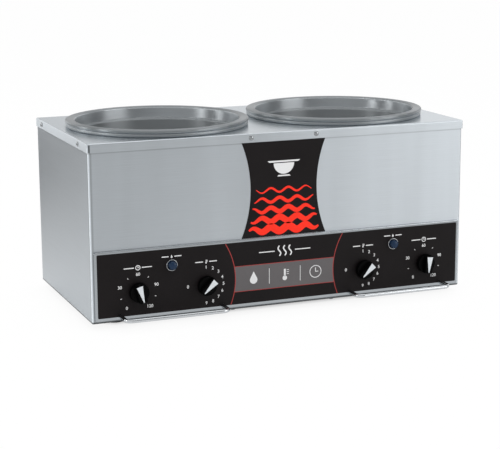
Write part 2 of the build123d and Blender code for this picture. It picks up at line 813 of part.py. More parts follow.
def make_lens(centre_x):
    """Domed lens on a stem that reaches through the panel to the lamp."""
    spot = (centre_x, lamp_height)
    with BuildPart() as lens:
        with BuildSketch(overlay_face):
            with Locations(spot):
                Circle(lens_radius)
        extrude(amount=lens_height)
        fillet(lens.edges().sort_by(Axis.Y)[0], lens_round)
        with BuildSketch(overlay_face):
            with Locations(spot):
                Circle(lamp_stem_radius)
        extrude(amount=-film - sheet)
    return lens


def make_bezel(centre_x):
    """Bright ring round the lens."""
    spot = (centre_x, lamp_height)
    with BuildPart() as bezel:
        with BuildSketch(overlay_face):
            with Locations(spot):
                Circle(bezel_radius)
        extrude(amount=bezel_height)
        fillet(bezel.edges().sort_by(Axis.Y)[0], bezel_round)
        with BuildSketch(overlay_face):
            with Locations(spot):
                Circle(lens_radius + fit_gap)
        extrude(amount=bezel_height, mode=Mode.SUBTRACT)
    return bezel


def make_lamp(centre_x):
    """Lamp body behind the panel, with two blades."""
    spot = (centre_x, lamp_height)
    with BuildPart() as lamp:
        with BuildSketch(panel_inner):
            with Locations(spot):
                Circle(lamp_body_radius)
        extrude(amount=-lamp_body_length)
        fillet(lamp.edges().sort_by(Axis.Y)[-1], lamp_body_round)
        with BuildSketch(panel_inner.offset(-lamp_body_length)):
            with Locations(spot):
                with GridLocations(lamp_body_radius, 0, 2, 1):
                    Rectangle(blade_thickness, blade_width)
        extrude(amount=-blade_length)
    return lamp


def make_guard(centre_x):
    """Bent rod in front of a pair of knobs, its legs through panel, wrap and base pan."""
    half = guard_width / 2
    leg_end = base_front + sheet + guard_nut_height + guard_thread
    run_y = front_y - guard_standoff
    with BuildPart() as guard:
        with BuildLine() as path:
            FilletPolyline(
                (centre_x - half, leg_end, guard_height),
                (centre_x - half, run_y, guard_height),
                (centre_x + half, run_y, guard_height),
                (centre_x + half, leg_end, guard_height),
                radius=guard_bend,
            )
        with BuildSketch(Plane(path.line @ 0, z_dir=path.line % 0)):
            Circle(guard_rod / 2)
        sweep()
    return guard


# Pieces that come once for each side
for name, side in sides.items():
    centre_x = side * well_spacing / 2
    save(make_well(centre_x), f"{name}_well")
    save(make_inset(centre_x), f"{name}_inset")
    save(make_element(centre_x), f"{name}_element")
    save(make_clamp(centre_x), f"{name}_element_clamp")
    save(make_blanket(centre_x), f"{name}_insulation")
    save(make_switch(centre_x, side), f"{name}_water_switch")
    timer_at, thermostat_at = timer_places[name], thermostat_places[name]
    save(make_bulb(centre_x, side, thermostat_at), f"{name}_sensing_bulb")
    save(make_control(timer_at, timer_width, timer_depth), f"{name}_timer")
    save(make_control(thermostat_at, thermostat_width, thermostat_depth), f"{name}_thermostat")
    dials = {"timer": (timer_at, timer_rest[name]), "temp": (thermostat_at, thermostat_rest)}
    for dial, (dial_x, rest) in dials.items():
        save(make_knob(dial_x, rest), f"{name}_{dial}_knob")
        save(make_pointer(dial_x, rest), f"{name}_{dial}_pointer")
        save(make_shaft(dial_x, rest), f"{name}_{dial}_shaft")
    save(make_lens(lamp_places[name]), f"{name}_lamp_lens")
    save(make_bezel(lamp_places[name]), f"{name}_lamp_bezel")
    save(make_lamp(lamp_places[name]), f"{name}_lamp_body")
    save(make_guard(guard_places[name]), f"{name}_knob_guard")

# Cord entry in the back panel: a bush with a rounded nose, and its nut inside
gland_spot = (-gland_x, base_z + gland_z)
with BuildPart() as cord_gland:
    with BuildSketch(back_face):
        with Locations(gland_spot):
            Circle(gland_flange_radius)
    extrude(amount=gland_flange)
    with BuildSketch(back_face.offset(gland_flange)):
        with Locations(gland_spot):
            Circle(gland_nose_radius)
    extrude(amount=gland_length - gland_flange)
    fillet(cord_gland.edges().sort_by(Axis.Y)[-1], gland_nose_round)
    with BuildSketch(back_face):
        with Locations(gland_spot):
            Circle(gland_thread_radius)
    extrude(amount=-gland_thread)
    with BuildSketch(back_face.offset(gland_length)):
        with Locations(gland_spot):
            Circle(gland_bore)
    extrude(amount=-gland_length - gland_thread, mode=Mode.SUBTRACT)
save(cord_gland, "cord_gland")
gland_inner = Plane((0, wrap_rear, 0), x_dir=(1, 0, 0), z_dir=(0, -1, 0))
gland_nut_spot = [(gland_x, base_z + gland_z)]
gland_nut_hole = gland_thread_radius + fit_gap
save(hex_nuts(gland_inner, gland_nut_spot, gland_nut_flats, gland_nut_hole, gland_nut_height), "gland_nut")

# Terminal block on the base pan: a base with barrier ribs
terminal_y = wrap_rear - terminal_back
terminal_floor = Plane((gland_x - terminal_width / 2, terminal_y, base_z + 2 * sheet))
rib_pitch = (terminal_width - terminal_rib_width) / (terminal_ribs - 1)
with BuildPart() as terminal_block:
    with BuildSketch(terminal_floor):
        Rectangle(terminal_width, terminal_depth)
    extrude(amount=terminal_base)
    with BuildSketch(terminal_floor.offset(terminal_base)):
        with GridLocations(rib_pitch, 0, terminal_ribs, 1):
            Rectangle(terminal_rib_width, terminal_depth)
    extrude(amount=terminal_rib)
save(terminal_block, "terminal_block")

# Feet, recessed underneath for their screws
for name, (foot_x, foot_y) in foot_places.items():
    with BuildPart() as foot:
        with BuildSketch(Plane((foot_x, foot_y, base_z + sheet), z_dir=(0, 0, -1))):
            Circle(foot_radius)
        extrude(amount=base_z + sheet, taper=foot_draft)
        with BuildSketch(Plane((foot_x, foot_y, 0))):
            Circle(foot_recess_radius)
        extrude(amount=foot_recess, mode=Mode.SUBTRACT)
        with BuildSketch(Plane((foot_x, foot_y, 0))):
            Circle(screw_hole)
        extrude(amount=base_z + sheet, mode=Mode.SUBTRACT)
    save(foot, name)

# Fasteners, one node for each kind
save(pan_screws(deck_screw_seats), "deck_screws")
save(pan_screws(rear_screw_seats), "back_screws")
save(pan_screws(base_screw_seats), "base_screws")
save(pan_screws(foot_screw_seats), "foot_screws")
nut_gap = fit_gap / 2
bush_nut_hole = bush_radius + nut_gap
save(hex_nuts(overlay_face, control_spots, bush_nut_flats, bush_nut_hole, bush_nut_height), "bush_nuts")
guard_nut_spots = [(-x, z) for x, z in guard_spots]
guard_nut_hole = guard_rod / 2 + nut_gap
save(hex_nuts(base_inner, guard_nut_spots, guard_nut_flats, guard_nut_hole, guard_nut_height), "guard_nuts")
clamp_under = Plane((0, 0, clamp_z), x_dir=(1, 0, 0), z_dir=(0, 0, -1))
clamp_nut_spots = [(x, -y) for x, y in well_centres]
clamp_nut_hole = stud_radius + nut_gap
save(hex_nuts(clamp_under, clamp_nut_spots, stud_nut_flats, clamp_nut_hole, stud_nut_height), "clamp_nuts")
panel_nut_hole = panel_stud_radius + nut_gap
panel_nut_spots = [(-x, z) for x, z in stud_spots]
save(hex_nuts(wrap_inner, panel_nut_spots, panel_nut_flats, panel_nut_hole, panel_nut_height), "panel_nuts")
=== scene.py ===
import json
from math import atan2, cos, degrees, pi, radians, sin

import bmesh
import bpy
from mathutils import Matrix, Vector


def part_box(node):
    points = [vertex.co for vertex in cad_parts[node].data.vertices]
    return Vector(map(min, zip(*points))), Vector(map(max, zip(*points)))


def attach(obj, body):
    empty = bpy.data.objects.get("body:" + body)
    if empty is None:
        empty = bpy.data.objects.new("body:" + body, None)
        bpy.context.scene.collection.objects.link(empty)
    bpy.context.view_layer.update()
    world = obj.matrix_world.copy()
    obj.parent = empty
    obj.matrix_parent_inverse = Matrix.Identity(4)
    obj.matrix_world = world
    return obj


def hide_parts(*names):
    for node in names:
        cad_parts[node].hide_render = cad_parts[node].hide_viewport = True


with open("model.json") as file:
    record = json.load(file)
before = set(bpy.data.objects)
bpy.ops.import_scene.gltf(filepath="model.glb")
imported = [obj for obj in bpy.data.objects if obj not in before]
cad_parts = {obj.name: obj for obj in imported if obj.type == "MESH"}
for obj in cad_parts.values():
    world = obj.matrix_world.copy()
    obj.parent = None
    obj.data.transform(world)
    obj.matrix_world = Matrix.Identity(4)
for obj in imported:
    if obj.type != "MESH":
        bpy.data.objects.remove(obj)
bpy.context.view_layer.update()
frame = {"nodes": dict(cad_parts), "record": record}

# Looks of a twin food warmer that stands on a counter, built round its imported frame.
# X runs to the right, Y to the back and Z up. Sizes are in millimetres where they are
# named, and MM turns them into Blender's metres.
MM = 0.001
ROUND = 96  # segments of a turned piece
join_distance = 0.00001  # metres, between points of a figure that become one
sides = ("left", "right")

# Edges that turn by more degrees than these stay sharp
plain_sharp = 35.0
knob_sharp = 40.0
turned_sharp = 30.0

# Camera, as it stood for the photograph
camera_place = (-0.88676, -2.2238, 0.62196)  # metres
camera_azimuth = -21.70  # degrees, as the next two
camera_elevation = 12.07
camera_roll = -0.309
camera_lens = 108.37
camera_sensor = 36.0
camera_reach = 60.0  # metres

# Figures and marks of the dials
print_rise = 0.06
digit_height = 5.0
digit_weight = 0.019
timer_minutes = (0, 30, 60, 90, 120)
timer_sweep = 280.0  # degrees from the first minute to the last
timer_radius = 28.6
timer_sides = (30, 90)  # minutes that stand further out
timer_side_radius = 30.4
tick_radius = 27.9
tick_length = 2.4
tick_width = 0.9
heat_zero = -90.0  # place of 0, in degrees clockwise from upright
heat_step = 22.5  # from 1, which is upright, to each next number
heat_radius = 28.0
heat_zero_radius = 29.5
heat_last = 9
scale_shift = {  # printed scales from their knobs' axes, across and up
    "left_timer": (0.0, -1.2),
    "left_temp": (0.0, 0.0),
    "right_temp": (-1.5, 1.2),
    "right_timer": (-1.5, 0.0),
}

# Symbols between rules, above the dials and lamps
label_rule = 1.5
clock_line = 1.2
thermometer_tick = 0.9  # thickness of its ticks
timer_label = (38.5, 3.4, 6.0, 16.0)  # rise, size of the symbol, and gap and length of the rules
heat_label = (36.5, 2.9, 5.0, 12.5)
lamp_label = (13.2, 2.5, 4.6, 11.0)

# Forms of the symbols, as shares of their size
clock_hands = (0.65, 0.5)  # lengths of the upright and the level hand
bulb_drop, bulb_radius = 0.6, 0.42
stem_drop, stem_width = 0.3, 0.36
stem_ticks = (0.1, 0.45, 0.8)  # heights
stem_tick_ends = (0.35, 0.75)
drop_drop, drop_radius = 0.35, 0.62
drop_arc = (150, 390)  # degrees

# Middle of the panel: red lines, a grey band with symbols and three waves above it
red_line = 1.2
swoosh_top = (98.0, 115.4)  # a red line's points across and up
swoosh_waist = (83.3, 76.0)
swoosh_foot = (89.8, 19.6)
band_low = 38.4
band_high = 78.6
band_edge = 0.96  # thickness of the lines along it
band_pitch = 52.0  # from symbol to symbol
band_sizes = (10.0, 9.0, 9.5)  # of the drop, the thermometer and the clock
band_rule = 0.9
band_rule_end = 8.0  # from the band's edge
steam_pitch = 9.0
steam_swing = 2.2
steam_foot = 89.0
steam_height = 16.0
steam_weight = 2.1
steam_steps = 24
steam_rules = ((0.0, 97.0), 17.0, 26.0)  # middle, gap and length

# Waves and a bowl on the decal
wave_weights = (12.0, 9.6, 7.4, 5.4, 3.4)  # from the lowest wave up
wave_first = 11.0  # foot of the decal to the lowest wave
wave_pitch = 15.2
wave_reach = 58.0  # half the width of the lowest wave
wave_step_in = 3.0  # how much less each next wave reaches
wave_swing = 3.4
wave_length = 29.0
wave_thinning = 0.75  # share of its weight that a wave loses at its ends
wave_steps = 96
bowl_rise = 117.0  # foot of the decal to the top of the brim
bowl_radius = 17.0
bowl_drop = 4.0  # top of the brim to the bowl
brim = (27.0, 24.0, 0.0, 2.6)  # half widths at its top and foot, and their depths below bowl_rise
bowl_foot = (9.0, 11.0, 22.4, 24.6)

# Knobs
rest_angles = {"left_timer": -15.5, "right_timer": 4.5, "left_temp": 46.0, "right_temp": 46.0}
knob_radius = 15.2
knob_neck_radius = 14.7
knob_skirt = 7.0
knob_height = 15.5
knob_recess_radius = 9.5
knob_recess = 2.0
knob_bevel = 0.4
knob_band = 1.6  # height of the skirt's upright foot
knob_shoulder = 1.4  # radius of the skirt's round
knob_crown = 0.3  # rise of the skirt towards its axis
bar_width = 13.4
bar_length = 29.8
bar_corner = 3.0
bar_scoop = 0.13  # share of the width taken by the finger scoops
bar_sink = 0.2  # of the bar in the skirt
bar_top = ((0.955, 1.0), (0.945, 0.45), (0.925, 0.12), (0.895, 0.0))  # share, and depth under the top
inlay_length = 25.2
inlay_wide = 9.8
inlay_narrow = 1.4
inlay_rise = 0.08
inlay_sink = 0.4

# Lamps
lens_radius = 6.6
lens_side = 6.4  # height of its upright side, under the dome
lens_height = 9.8
lens_tail = 1.6  # behind the face of the panel
lens_shoulder = 0.9  # from the tail out to the side
bezel_radius = 8.8
bezel_height = 2.4
bezel_gap = 0.1
bezel_round = 0.6
bezel_inner_height = 0.7

# Screws and their places
head_radius = 4.0
solid_head_radius = 3.5  # of the plain heads that these replace
head_height = 2.2
shank_radius = 1.75
shank_length = 9.0
cross_length = 2.2
cross_width = 0.6
cross_corner = 0.3
cross_depth = 0.6
cross_taper = 0.55  # share of the cross at its foot
cross_over = 0.3  # how far the cutter stands over the head
head_turn = 23.0  # degrees of the first cross in a group
head_turn_step = 37.0
deck_screw_z = 275.2
deck_screw_x = 53.6
deck_screw_front = 50.0  # from the front of the deck
deck_screw_back = 38.0
back_screw_x = 300.8
base_screw_x = 83.2
base_screw_y = -130.6
base_side_screw_x = 302.8
base_side_screw_end = 52.0  # from either end of the deck

# Weld at the right front corner of the deck's flange
weld_width = 2.4
weld_depth = 1.1
weld_height = 11.6
weld_end = 1.9  # from the right end of the deck
weld_sink = 0.05

# Painted highlight and painted shade of the sheets: distance, and gain of the colour there
corner_painted_highlight = ((2.1, 1.4), (3.0, 0.72), (4.4, 0.75), (6.2, 1.0))  # from the left front corner: a painted highlight on the bend, then a painted dark reflection beside it
eaves_shade = ((-0.3, 0.2), (0.0, 0.72), (1.2, 0.8), (2.4, 1.0))  # painted shade below the deck's flange, darkest in the slit above its edge
wrap_hem_shade = ((0.5, 0.15), (2.2, 0.25), (3.8, 1.0))  # painted shade above the lower edge
# painted shade on the panel's lower lip, above its lower edge
panel_hem_shade = ((0.2, 0.45), (1.0, 0.75), (1.8, 1.0))
deck_sheen = 0.76  # roughness of the deck's top as a share of its flanges'
deck_top_shade = 0.975  # and its colour, darkened there as painted shade
top_from = 0.5  # upward part of a face's direction where its top starts to count

# Colours of the steels, and the zones of the turned ones with their roughness
steel = (0.555, 0.592, 0.622)
lip_grey = (0.40, 0.426, 0.448)
zinc = (0.5, 0.51, 0.52)
pan_grey = (0.30, 0.319, 0.331)
bead_grey = (0.31, 0.329, 0.342)
pan_bright = (0.55, 0.578, 0.598)
pan_dim = (0.36, 0.379, 0.392)
pan_zones = {"rim": (pan_grey, 0.42), "collar": (pan_bright, 0.38), "wall": (pan_dim, 0.52)}
well_zones = {"rim": (bead_grey, 0.46), "collar": (pan_dim, 0.46), "wall": (pan_dim, 0.46)}
# Painted light on the rims of the inset and the well where the grooves between them lie in shade, and
# painted shade on the inset's crest
pan_rim_painted_light_and_shade = ((288.2, 1.8), (290.0, 1.0), (291.6, 1.0), (292.6, 0.78))  # height, and gain of the rim
bead_rim_painted_light = ((281.8, 2.2), (284.2, 1.0), (285.8, 1.0), (287.2, 1.9))
pan_collar = 128.9  # radius where the rim starts
well_collar = 134.0
pan_stretch = 0.9  # of the reflections, across the scratches
well_stretch = 0.6
wall_top = 275.5  # height where the collar starts

# Grain of the steels, per metre, and how much it varies their colour and roughness
noise_middle = (0.3, 0.7)  # where most of a noise's values lie
steel_depth = 0.08
steel_rough = (-0.05, 0.06)
sheet_streaks = (22.0, 3.0, 1.5)
sheet_relief = (0.12, 0.02)  # strength, and depth in millimetres
ring_grain = 900.0
ring_relief = (0.15, 0.02)
pan_clouds = (14.0, 14.0, 30.0)
stuff_clouds = (25.0, 25.0, 25.0)
stuff_rough = (-0.05, 0.05)
stuff_strength = 0.3
spangle_grain = (140.0, 140.0, 140.0)
spangle_depth = 0.18
spangle_rough = (-0.08, 0.1)
spangle_relief = (0.05, 0.02)

# Plain stuffs: colour, depth of its speckle, grain, roughness, relief and other constants
metal = {"Metallic": 1.0}
stuffs = {
    "bright_steel": ((0.60, 0.62, 0.64), 0.04, 700.0, 0.17, 0.01, metal),
    "ring_steel": ((0.52, 0.535, 0.55), 0.05, 700.0, 0.24, 0.01, metal),
    "screw_steel": ((0.34, 0.354, 0.364), 0.06, 900.0, 0.13, 0.01, metal),
    "bulb_brass": ((0.6, 0.34, 0.2), 0.12, 800.0, 0.3, 0.02, metal),
    "element_sheath": ((0.1, 0.095, 0.09), 0.25, 700.0, 0.5, 0.05, {"Metallic": 0.7}),
    "printed_film": ((0.0068, 0.0052, 0.0055), 0.25, 1400.0, 0.5, 0.01, {"Specular IOR Level": 0.14}),
    "knob_black": ((0.001, 0.001, 0.0011), 0.3, 1600.0, 0.45, 0.03, {"Specular IOR Level": 0.05}),
    "pointer_white": ((0.61, 0.638, 0.66), 0.05, 900.0, 0.4, 0.01, {"Specular IOR Level": 0.3}),
    "lens_blue": ((0.004, 0.019, 0.05), 0.25, 600.0, 0.2, 0.003, {"Specular IOR Level": 0.28}),
    "blanket_fibre": ((0.62, 0.55, 0.4), 0.25, 500.0, 0.95, 0.6, {}),
    "control_case": ((0.035, 0.035, 0.037), 0.2, 1200.0, 0.5, 0.04, {}),
    "foot_rubber": ((0.016, 0.016, 0.016), 0.3, 900.0, 0.75, 0.08, {}),
    "ink_white": ((0.66, 0.66, 0.66), 0.06, 1500.0, 0.5, 0.01, {"Specular IOR Level": 0.3}),
    "ink_red": ((0.86, 0.032, 0.016), 0.06, 1500.0, 0.45, 0.01, {"Specular IOR Level": 0.1}),
    "ink_line": ((0.30, 0.035, 0.032), 0.08, 1500.0, 0.5, 0.01, {"Specular IOR Level": 0.25}),
    "ink_grey": ((0.105, 0.098, 0.1), 0.08, 1500.0, 0.5, 0.01, {"Specular IOR Level": 0.25}),
    "card_dark": ((0.12, 0.12, 0.12), 0.2, 40.0, 0.9, 0.01, {"Specular IOR Level": 0.1}),
}

# Stage, in metres and watts
floor_half = 20.0
paper_grey = 0.9
floor_near, floor_far = 0.95, 0.68  # its white in reflections
mirror_start, mirror_reach = 0.1, 0.8
shadow_inset = 0.05  # how far under the body the shadow starts to fade
shadow_stops = ((0.0, 0.0), (0.012, 0.5), (0.03, 0.88), (0.095, 0.98))  # distance from there, and white
mirror_stops = ((0.05, 0.0), (0.085, 0.4), (0.12, 0.98))  # the same in reflections
room_tint = (0.98, 0.99, 1.0)
room_way = (0.7, 0.68, 0.2)  # towards its brighter side
room_stops = (  # share of that way, and level
    (-0.9, 0.85), (-0.45, 0.44), (0.1, 0.42), (0.35, 0.43), (0.74, 0.55), (0.97, 1.08))
lamp_aim = (0.0, 0.0, 0.15)
lamps = {  # place, width, height and power
    "right_lamp": ((2.1, -2.1, 1.0), 2.0, 2.0, 24.0),
    "top_lamp": ((0.2, 0.3, 3.0), 4.0, 4.0, 48.0),
    "left_lamp": ((-2.9, -0.1, 0.9), 0.5, 1.6, 11.0),
    "side_lamp": ((-2.5, 1.5, 0.9), 0.5, 1.6, 11.0),
    "front_lamp": ((-0.9, -2.4, 2.6), 2.4, 2.4, 42.0),
    "back_lamp": ((-0.9, 2.2, 0.85), 1.5, 1.4, 5.0),
}
unmirrored = ("front_lamp",)  # lamps that light the prints alone
card_left, card_right = -1.7, -0.32
card_y = 1.0
card_top = 0.2


# Nodes of the materials

def node(tree, kind, inputs=None, **settings):
    """A shader node with its inputs linked to sockets or set to values."""
    made = tree.nodes.new("ShaderNode" + kind)
    for name, value in settings.items():
        setattr(made, name, value)
    for key, value in (inputs or {}).items():
        if isinstance(value, bpy.types.NodeSocket):
            tree.links.new(value, made.inputs[key])
        else:
            made.inputs[key].default_value = value
    return made


def number(tree, operation, first, second=0.0):
    """A value worked out from one or two values."""
    return node(tree, "Math", {0: first, 1: second}, operation=operation).outputs[0]


def vector(tree, operation, first, second=(0.0, 0.0, 0.0)):
    """A vector worked out from one or two vectors."""
    return node(tree, "VectorMath", {0: first, 1: second}, operation=operation).outputs["Vector"]


def measure(tree, operation, first, second=(0.0, 0.0, 0.0)):
    """A value worked out from one or two vectors."""
    return node(tree, "VectorMath", {0: first, 1: second}, operation=operation).outputs["Value"]


def scaled(tree, colour, gain):
    """A colour times a value."""
    return node(tree, "VectorMath", {0: colour, "Scale": gain}, operation="SCALE").outputs["Vector"]


def parts(tree, spot):
    """The X, Y and Z of a vector."""
    return node(tree, "SeparateXYZ", {"Vector": spot}).outputs


def material(name, constants):
    """A material with constants on its shader's own sockets."""
    made = bpy.data.materials.new(name)
    made.use_nodes = True
    shader = made.node_tree.nodes["Principled BSDF"]
    for socket, value in constants.items():
        shader.inputs[socket].default_value = value
    return made, made.node_tree, shader


def own_spot(tree):
    """The piece's own coordinates, in metres."""
    return node(tree, "TexCoord").outputs["Object"]


def place(tree, scale, centre=(0, 0, 0)):
    """The piece's own coordinates about a centre, scaled per metre."""
    return vector(tree, "MULTIPLY", vector(tree, "SUBTRACT", own_spot(tree), centre), scale)


def noise(tree, spot, detail=2.0):
    """Plain noise over a place."""
    return node(tree, "TexNoise", {"Vector": spot, "Scale": 1.0, "Detail": detail}).outputs["Fac"]


def blend(tree, first, second, share):
    """A mix of two values, with that share of the second."""
    part = number(tree, "MULTIPLY", second, share)
    rest = number(tree, "MULTIPLY", first, 1 - share)
    return number(tree, "ADD", part, rest)


def spread(tree, source, low, high):
    """The middle of a noise's range, stretched from low to high."""
    ends = {"From Min": noise_middle[0], "From Max": noise_middle[1], "To Min": low, "To Max": high}
    return node(tree, "MapRange", {"Value": source, **ends}).outputs["Result"]


def stepped(tree, source, stops):
    """A value that runs straight from stop to stop of a source."""
    level = stops[0][1]
    for (start, low), (end, high) in zip(stops, stops[1:]):
        ends = {"From Min": start, "From Max": end, "To Min": 0.0, "To Max": high - low}
        step = node(tree, "MapRange", {"Value": source, **ends}).outputs["Result"]
        level = number(tree, "ADD", step, level)
    return level


def in_metres(stops):
    """Stops with their distances turned from millimetres into metres."""
    return [(distance * MM, value) for distance, value in stops]


def shades(tree, source, colour, depth):
    """A colour that varies by that depth with a source."""
    ramp = node(tree, "ValToRGB", {"Fac": source})
    for stop, position, factor in zip(ramp.color_ramp.elements, noise_middle, (1 - depth, 1 + depth)):
        stop.position = position
        stop.color = (*[min(channel * factor, 1.0) for channel in colour], 1.0)
    return ramp.outputs["Color"]


def tones(tree, shader, source, colour, depth):
    """Base colour that varies by that depth about a colour."""
    tree.links.new(shades(tree, source, colour, depth), shader.inputs["Base Color"])


def rough(tree, shader, source, low, high):
    """Roughness that varies with a source."""
    tree.links.new(spread(tree, source, low, high), shader.inputs["Roughness"])


def bump(tree, shader, source, strength, distance):
    """Fine relief from a source, with its depth in millimetres."""
    made = node(tree, "Bump", {"Height": source, "Strength": strength, "Distance": distance * MM})
    tree.links.new(made.outputs["Normal"], shader.inputs["Normal"])


def brushed(tree, shader, along):
    """Stretches reflections across the scratches that run along a direction."""
    shader.inputs["Anisotropic Rotation"].default_value = 0.25  # a quarter turn
    tree.links.new(vector(tree, "NORMALIZE", along), shader.inputs["Tangent"])


def brushed_steel(name, colour, grain, roughness, stretch, across, spring=0.0):
    """Satin sheet whose fine scratches run along each face, square to a direction.

    Spring leans its end faces out towards their lower edges, as millimetres in each millimetre.
    """
    made, tree, shader = material(name, {"Metallic": 1.0, "Anisotropic": stretch})
    scratches = noise(tree, place(tree, grain), detail=4.0)
    streaks = noise(tree, place(tree, sheet_streaks))
    both = blend(tree, scratches, streaks, share=0.5)
    tones(tree, shader, both, colour, steel_depth)
    rough(tree, shader, both, roughness + steel_rough[0], roughness + steel_rough[1])
    bump(tree, shader, scratches, *sheet_relief)
    facing = node(tree, "NewGeometry").outputs["Normal"]
    if spring:
        ended = number(tree, "ABSOLUTE", parts(tree, facing)["X"])
        drop_out = parts(tree, place(tree, (1.0, 1.0, -spring)))["Z"]
        height = number(tree, "MULTIPLY", drop_out, ended)
        lean = node(tree, "Bump", {"Height": height, "Strength": 1.0, "Distance": 1.0})
        grained = shader.inputs["Normal"].links[0].from_node
        tree.links.new(lean.outputs["Normal"], grained.inputs["Normal"])
    brushed(tree, shader, vector(tree, "CROSS_PRODUCT", facing, across))
    return made


def tone(finish, gain):
    """Scales a finish's base colour by a value."""
    tree = finish.node_tree
    socket = tree.nodes["Principled BSDF"].inputs["Base Color"]
    tree.links.new(scaled(tree, socket.links[0].from_socket, gain), socket)


def worn_folds(finish, corner, eaves):
    """Paints a highlight along a sheet's left front corner with a darker band beside it, and paints
    shade close under its eaves.

    The corner is how far the sheet reaches to the left and to the front, in metres.
    """
    tree = finish.node_tree
    spot = parts(tree, own_spot(tree))
    short = number(tree, "ADD", number(tree, "ADD", spot["X"], spot["Y"]), sum(corner))
    corner_highlight = stepped(tree, short, in_metres(corner_painted_highlight))
    below = number(tree, "SUBTRACT", eaves, spot["Z"])
    shaded = stepped(tree, below, in_metres(eaves_shade))
    tone(finish, number(tree, "MULTIPLY", corner_highlight, shaded))


def smooth_top(finish, sheen, shade):
    """Lowers the roughness of the faces that look up, and darkens their colour as painted shade, to
    shares of what they are.
    """
    tree = finish.node_tree
    upward = parts(tree, node(tree, "NewGeometry").outputs["Normal"])["Z"]
    socket = tree.nodes["Principled BSDF"].inputs["Roughness"]
    share = stepped(tree, upward, ((top_from, 1.0), (1.0, sheen)))
    tree.links.new(number(tree, "MULTIPLY", socket.links[0].from_socket, share), socket)
    tone(finish, stepped(tree, upward, ((top_from, 1.0), (1.0, shade))))


def dull_hem(finish, foot, hem):
    """Paints shade on a sheet towards its lower edge, which is at that height in metres."""
    tree = finish.node_tree
    above = number(tree, "SUBTRACT", parts(tree, own_spot(tree))["Z"], foot)
    tone(finish, stepped(tree, above, in_metres(hem)))


def spun_steel(name, zones, painted_rim_light, collar, stretch, centre):
    """Steel turned on a lathe, with rings of fine scratches about a centre.

    The rim, the collar inside it and the wall below that each have a colour and a roughness.
    The rim's painted light gives heights in millimetres and how much the rim's colour gains there,
    lightening it by the shaded grooves and darkening the inset's crest.
    """
    made, tree, shader = material(name, {"Metallic": 1.0, "Anisotropic": stretch})
    spot = place(tree, (1.0, 1.0, 1.0), centre)
    across = vector(tree, "MULTIPLY", spot, (1.0, 1.0, 0.0))
    reach = measure(tree, "LENGTH", across)
    height = parts(tree, spot)["Z"]
    rings = node(tree, "CombineXYZ", {"X": reach, "Y": height}).outputs[0]
    fine = vector(tree, "MULTIPLY", rings, (ring_grain, ring_grain, 1.0))
    scratches = noise(tree, fine, detail=3.0)
    clouds = noise(tree, place(tree, pan_clouds))
    both = blend(tree, scratches, clouds, share=0.4)
    outside = stepped(tree, reach, in_metres(((collar, 0.0), (collar + 1.0, 1.0))))
    above = stepped(tree, height, in_metres(((wall_top - 0.5, 0.0), (wall_top + 0.5, 1.0))))
    colours, roughness = [], []
    for zone in ("rim", "collar", "wall"):
        colour, level = zones[zone]
        colours.append(shades(tree, both, colour, steel_depth))
        roughness.append(spread(tree, both, level + steel_rough[0], level + steel_rough[1]))
    # the rim's colour lifted and lowered by height, as painted light and painted shade
    rim = scaled(tree, colours[0], stepped(tree, height, in_metres(painted_rim_light)))
    lower = node(tree, "Mix", {0: above, 6: colours[2], 7: colours[1]}, data_type="RGBA").outputs[2]
    colour = node(tree, "Mix", {0: outside, 6: lower, 7: rim}, data_type="RGBA").outputs[2]
    tree.links.new(colour, shader.inputs["Base Color"])
    lower = node(tree, "Mix", {0: above, 2: roughness[2], 3: roughness[1]}).outputs[0]
    level = node(tree, "Mix", {0: outside, 2: lower, 3: roughness[0]}).outputs[0]
    tree.links.new(level, shader.inputs["Roughness"])
    bump(tree, shader, scratches, *ring_relief)
    brushed(tree, shader, vector(tree, "CROSS_PRODUCT", (0.0, 0.0, 1.0), across))
    return made


def speckled(name, colour, depth, grain, roughness, relief, constants):
    """Plain stuff with fine speckle, such as moulded plastic, rubber, film or plating."""
    made, tree, shader = material(name, constants)
    fine = noise(tree, place(tree, (grain, grain, grain)), detail=3.0)
    clouds = noise(tree, place(tree, stuff_clouds))
    both = blend(tree, fine, clouds, share=0.5)
    tones(tree, shader, both, colour, depth)
    rough(tree, shader, both, roughness + stuff_rough[0], roughness + stuff_rough[1])
    bump(tree, shader, fine, stuff_strength, relief)
    return made


def spangled(name, colour, roughness):
    """Zinc-coated sheet with its crystal flowers."""
    made, tree, shader = material(name, {"Metallic": 0.85})
    flowers = node(tree, "TexVoronoi", {"Vector": place(tree, spangle_grain), "Scale": 1.0})
    grey = node(tree, "RGBToBW", {"Color": flowers.outputs["Color"]}).outputs[0]
    tones(tree, shader, grey, colour, spangle_depth)
    rough(tree, shader, grey, roughness + spangle_rough[0], roughness + spangle_rough[1])
    bump(tree, shader, grey, *spangle_relief)
    return made


# Meshes

def add_piece(name, mesh, finish, body, sharp=plain_sharp, matrix=Matrix.Identity(4)):
    """Turns a bmesh into a piece that rides on a body."""
    bmesh.ops.recalc_face_normals(mesh, faces=mesh.faces)
    data = bpy.data.meshes.new(name)
    mesh.to_mesh(data)
    mesh.free()
    data.shade_smooth()
    data.set_sharp_from_angle(angle=radians(sharp))
    data.materials.append(finish)
    made = bpy.data.objects.new(name, data)
    bpy.context.scene.collection.objects.link(made)
    made.matrix_world = matrix
    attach(made, body)
    return made


